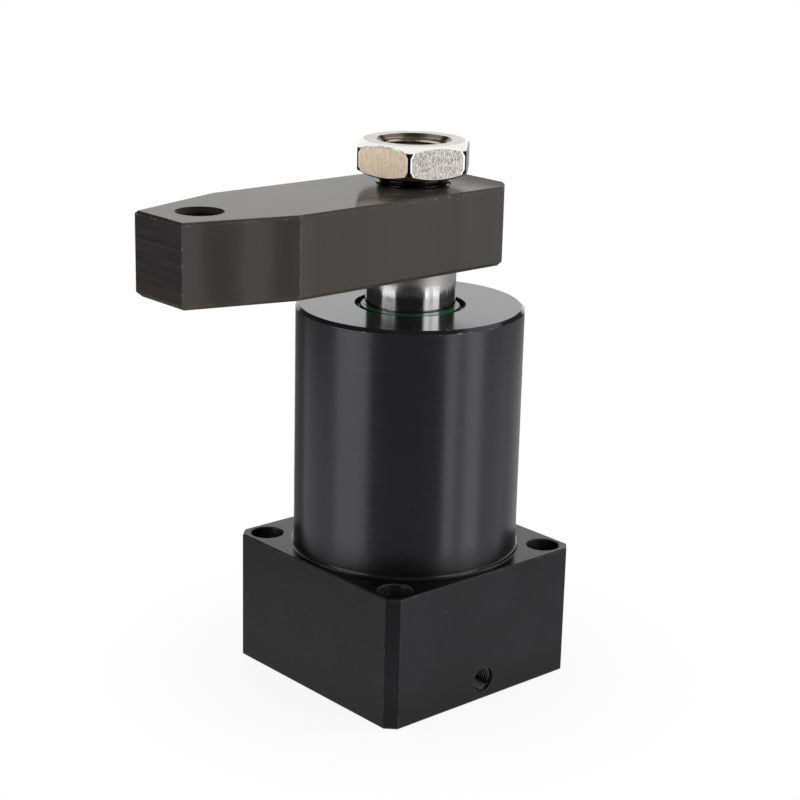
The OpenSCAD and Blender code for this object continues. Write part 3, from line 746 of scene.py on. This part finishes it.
def thread_turns(name, start, along, length, root_r, crest_r, pitch):
    """A closed helical ridge round an axis, fading out at both ends."""
    turns = length / pitch - 1
    steps = max(FEWEST_STEPS, round(turns * STEPS_A_TURN))
    points = ridge_points(start, along, root_r, crest_r, pitch, steps)
    mesh = bpy.data.meshes.new(name)
    mesh.from_pydata(points, [], ridge_faces(steps, crest_r < root_r))
    mesh.update()
    ridge = bpy.data.objects.new(name, mesh)
    bpy.context.scene.collection.objects.link(ridge)
    return ridge


def finish_piece(piece, body, material):
    piece.data.materials.append(material)
    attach(piece, body)


def hole_thread(name, thread, body, material):
    """Thread turns on the wall of a threaded hole, placed by its mount."""
    place = mount(name)
    axis = Vector(place["axis"])
    length = place["dims"]["length_mm"] * MM
    wall = place["dims"]["r_mm"] * MM
    mouth = Vector(place["pos_m"]) + axis * (length / 2 - thread["inset"])
    turns = thread_turns(
        name + "_turns", mouth, -axis, length - 2 * thread["inset"],
        wall + ROOT_SINK, wall - thread["depth"], thread["pitch"],
    )
    finish_piece(turns, body, material)


def rod_thread(material):
    """The rod's thread where it shows between arm and nut."""
    low = ARM_HIGH.z - 4 * MM
    high = NUT_LOW.z + 0.3 * MM
    turns = thread_turns(
        "rod_thread", (0, 0, low), UP, high - low,
        ROD_CORE_RADIUS - ROOT_SINK, ROD_CREST_RADIUS, ROD_PITCH,
    )
    finish_piece(turns, "rod", material)


def nut_thread(material):
    """The nut's own thread, above the rod's end."""
    low = ROD_TOP_Z + 0.1 * MM
    high = NUT_HIGH.z - 1.2 * MM
    turns = thread_turns(
        "nut_thread", (0, 0, low), UP, high - low,
        NUT_ROOT_RADIUS + ROOT_SINK, NUT_CREST_RADIUS, ROD_PITCH,
    )
    finish_piece(turns, "rod", material)


def add_threads():
    dark = thread_black("thread_black", (0.009, 0.009, 0.009), (0.024, 0.023, 0.022))
    warm = thread_black("thread_arm", (0.035, 0.031, 0.029), (0.07, 0.063, 0.058))
    # the rod's thread under the nut is dark as painted shade
    shaded = thread_steel("thread_shaded", (0.05, 0.046, 0.042), (0.09, 0.085, 0.08))
    brown = thread_steel("thread_brown", (0.5, 0.42, 0.32), (0.7, 0.61, 0.5))
    hole_thread("port_front", PORT_THREAD, "housing", dark)
    hole_thread("port_rear", PORT_THREAD, "housing", dark)
    hole_thread("arm_tip_thread", TIP_THREAD, "rod", warm)
    rod_thread(shaded)
    nut_thread(brown)


def around(from_camera, distance, height):
    """A place round the object, by its angle to the right of the camera."""
    turn = math.radians(CAMERA_AZIMUTH + from_camera)
    return Vector((math.sin(turn) * distance, -math.cos(turn) * distance, height))


def seen_light(tree):
    """1 for rays that show the surroundings: camera, glossy and transmitted ones."""
    path = tree.nodes.new("ShaderNodeLightPath")
    share = path.outputs["Is Camera Ray"]
    for name in ("Is Glossy Ray", "Is Transmission Ray"):
        either = tree.nodes.new("ShaderNodeMath")
        either.operation = "MAXIMUM"
        tree.links.new(share, either.inputs[0])
        tree.links.new(path.outputs[name], either.inputs[1])
        share = either.outputs[0]
    return share


def white_world():
    """White where it is seen, and softer as a light."""
    world = bpy.data.worlds.new("white_studio")
    world.use_nodes = True
    tree = world.node_tree
    level = tree.nodes.new("ShaderNodeMapRange")
    level.inputs["To Min"].default_value = SKY_AS_LIGHT
    level.inputs["To Max"].default_value = 1.0
    tree.links.new(seen_light(tree), level.inputs["Value"])
    sky = tree.nodes["Background"]
    sky.inputs["Color"].default_value = WHITE
    tree.links.new(level.outputs[0], sky.inputs["Strength"])
    bpy.context.scene.world = world


def bare_material(name):
    """A new material of the studio with no shader yet."""
    material = bpy.data.materials.new(name)
    material.use_nodes = True
    tree = material.node_tree
    tree.nodes.remove(tree.nodes["Principled BSDF"])
    return material, tree, tree.nodes["Material Output"].inputs["Surface"]


def floor_paint():
    """Pale paint that looks white, fully so at the rim, and keeps a faint shadow."""
    material, tree, surface = bare_material("pale_floor")
    paint = tree.nodes.new("ShaderNodeBsdfDiffuse")
    paint.inputs["Color"].default_value = TABLE_COLOUR
    glow = tree.nodes.new("ShaderNodeEmission")
    mixed = tree.nodes.new("ShaderNodeMixShader")
    geometry = tree.nodes.new("ShaderNodeNewGeometry")
    from_middle = tree.nodes.new("ShaderNodeVectorMath")
    from_middle.operation = "LENGTH"
    rim = tree.nodes.new("ShaderNodeMapRange")
    rim.inputs["From Min"].default_value = TABLE_INNER_RADIUS
    rim.inputs["From Max"].default_value = TABLE_RADIUS
    rim.inputs["To Min"].default_value = TABLE_GLOW
    share = tree.nodes.new("ShaderNodeMath")
    share.operation = "MULTIPLY"
    tree.links.new(geometry.outputs["Position"], from_middle.inputs[0])
    tree.links.new(from_middle.outputs["Value"], rim.inputs["Value"])
    tree.links.new(rim.outputs[0], share.inputs[0])
    tree.links.new(seen_light(tree), share.inputs[1])
    tree.links.new(share.outputs[0], mixed.inputs[0])
    tree.links.new(paint.outputs[0], mixed.inputs[1])
    tree.links.new(glow.outputs[0], mixed.inputs[2])
    tree.links.new(mixed.outputs[0], surface)
    return material


def pale_floor():
    """A round table top whose rim melts into the white background."""
    bpy.ops.mesh.primitive_circle_add(
        vertices=TABLE_CORNERS, radius=TABLE_RADIUS, fill_type="NGON", location=(0, 0, -TABLE_GAP),
    )
    floor = bpy.context.object
    floor.name = "floor"
    floor.data.materials.append(floor_paint())


def only_reflected(thing, name, level):
    """Makes a thing an even surface of the studio that reflections show and nothing else."""
    material, tree, surface = bare_material(name)
    glow = tree.nodes.new("ShaderNodeEmission")
    glow.inputs["Strength"].default_value = level
    tree.links.new(glow.outputs[0], surface)
    thing.data.materials.append(material)
    thing.visible_camera = False
    thing.visible_diffuse = False
    thing.visible_shadow = False


def dark_room():
    """The dim room below table level, which only reflections show."""
    bpy.ops.mesh.primitive_cylinder_add(
        vertices=ROOM_CORNERS, radius=ROOM_RADIUS, depth=ROOM_DEPTH, end_fill_type="NOTHING",
        location=(0, 0, -ROOM_DEPTH / 2),
    )
    room = bpy.context.object
    room.name = "room"
    only_reflected(room, "dim_room", ROOM_LIGHT)


def upright(start, end, low, high, distance):
    """Middle, width and height of an upright sheet that faces the object."""
    middle = around((start + end) / 2, distance, (low + high) / 2)
    width = 2 * distance * math.tan(math.radians((end - start) / 2))
    return middle, width, high - low


def sheet(name, middle, width, height, turn, level):
    """A plain sheet that only reflections show."""
    bpy.ops.mesh.primitive_plane_add(size=1, location=middle)
    thing = bpy.context.object
    thing.name = name
    thing.scale = (width, height, 1)
    thing.rotation_mode = "QUATERNION"
    thing.rotation_quaternion = turn
    only_reflected(thing, name, level)


def dark_cards():
    """The upright cards, and a dark ceiling over the camera."""
    for name, (*edges, level) in CARDS.items():
        middle, width, height = upright(*edges, CARD_DISTANCE)
        turn = Vector((-middle.x, -middle.y, 0)).to_track_quat("Z", "Y")
        sheet(name, middle, width, height, turn, level)
    above = around(0, CEILING_MIDDLE, CEILING_HEIGHT)
    turn = Matrix.Rotation(math.radians(CAMERA_AZIMUTH), 3, "Z").to_quaternion()
    sheet("ceiling", above, CEILING_WIDTH, CEILING_DEPTH, turn, DARK)


def area_light(name, place, aim, width, height, radiance):
    lamp = bpy.data.lights.new(name, "AREA")
    lamp.shape = "RECTANGLE"
    lamp.size = width
    lamp.size_y = height
    lamp.energy = radiance * math.pi * width * height
    light = bpy.data.objects.new(name, lamp)
    light.location = place
    light.rotation_mode = "QUATERNION"
    light.rotation_quaternion = (aim - place).to_track_quat("-Z", "Y")
    light.visible_camera = False
    bpy.context.scene.collection.objects.link(light)
    return light


def panel_lights():
    for name, (*edges, level) in PANELS.items():
        middle, width, height = upright(*edges, PANEL_DISTANCE)
        area_light(name, middle, Vector((0, 0, middle.z)), width, height, level)


def soft_light():
    """A broad light from the right that reflections don't show."""
    place = around(SOFT_TURN, SOFT_DISTANCE, SOFT_HEIGHT)
    aim = Vector((0, 0, AIM_HEIGHT))
    light = area_light("soft_right", place, aim, SOFT_SIZE, SOFT_SIZE, SOFT_LEVEL)
    light.visible_glossy = False


def studio():
    white_world()
    pale_floor()
    dark_room()
    dark_cards()
    panel_lights()
    soft_light()


def camera():
    """The camera at the photograph's viewing angle."""
    azimuth, elevation, roll = map(math.radians, (CAMERA_AZIMUTH, CAMERA_ELEVATION, CAMERA_ROLL))
    flat = math.cos(elevation)
    back = Vector((math.sin(azimuth) * flat, -math.cos(azimuth) * flat, math.sin(elevation)))
    right = Vector((math.cos(azimuth), math.sin(azimuth), 0))
    up = back.cross(right)
    aim = right * AIM_ASIDE + Vector((0, 0, AIM_HEIGHT))
    tilted_right = right * math.cos(roll) + up * math.sin(roll)
    tilted_up = up * math.cos(roll) - right * math.sin(roll)
    data = bpy.data.cameras.new("camera")
    data.sensor_width = CAMERA_SENSOR
    data.lens = CAMERA_LENS
    view = bpy.data.objects.new("camera", data)
    turn = Matrix((tilted_right, tilted_up, back)).transposed().to_4x4()
    view.matrix_world = Matrix.Translation(aim + back * CAMERA_DISTANCE) @ turn
    bpy.context.scene.collection.objects.link(view)
    bpy.context.scene.camera = view


camera()
studio()
dress_nodes()
add_threads()
bpy.context.scene.view_settings.view_transform = "Standard"
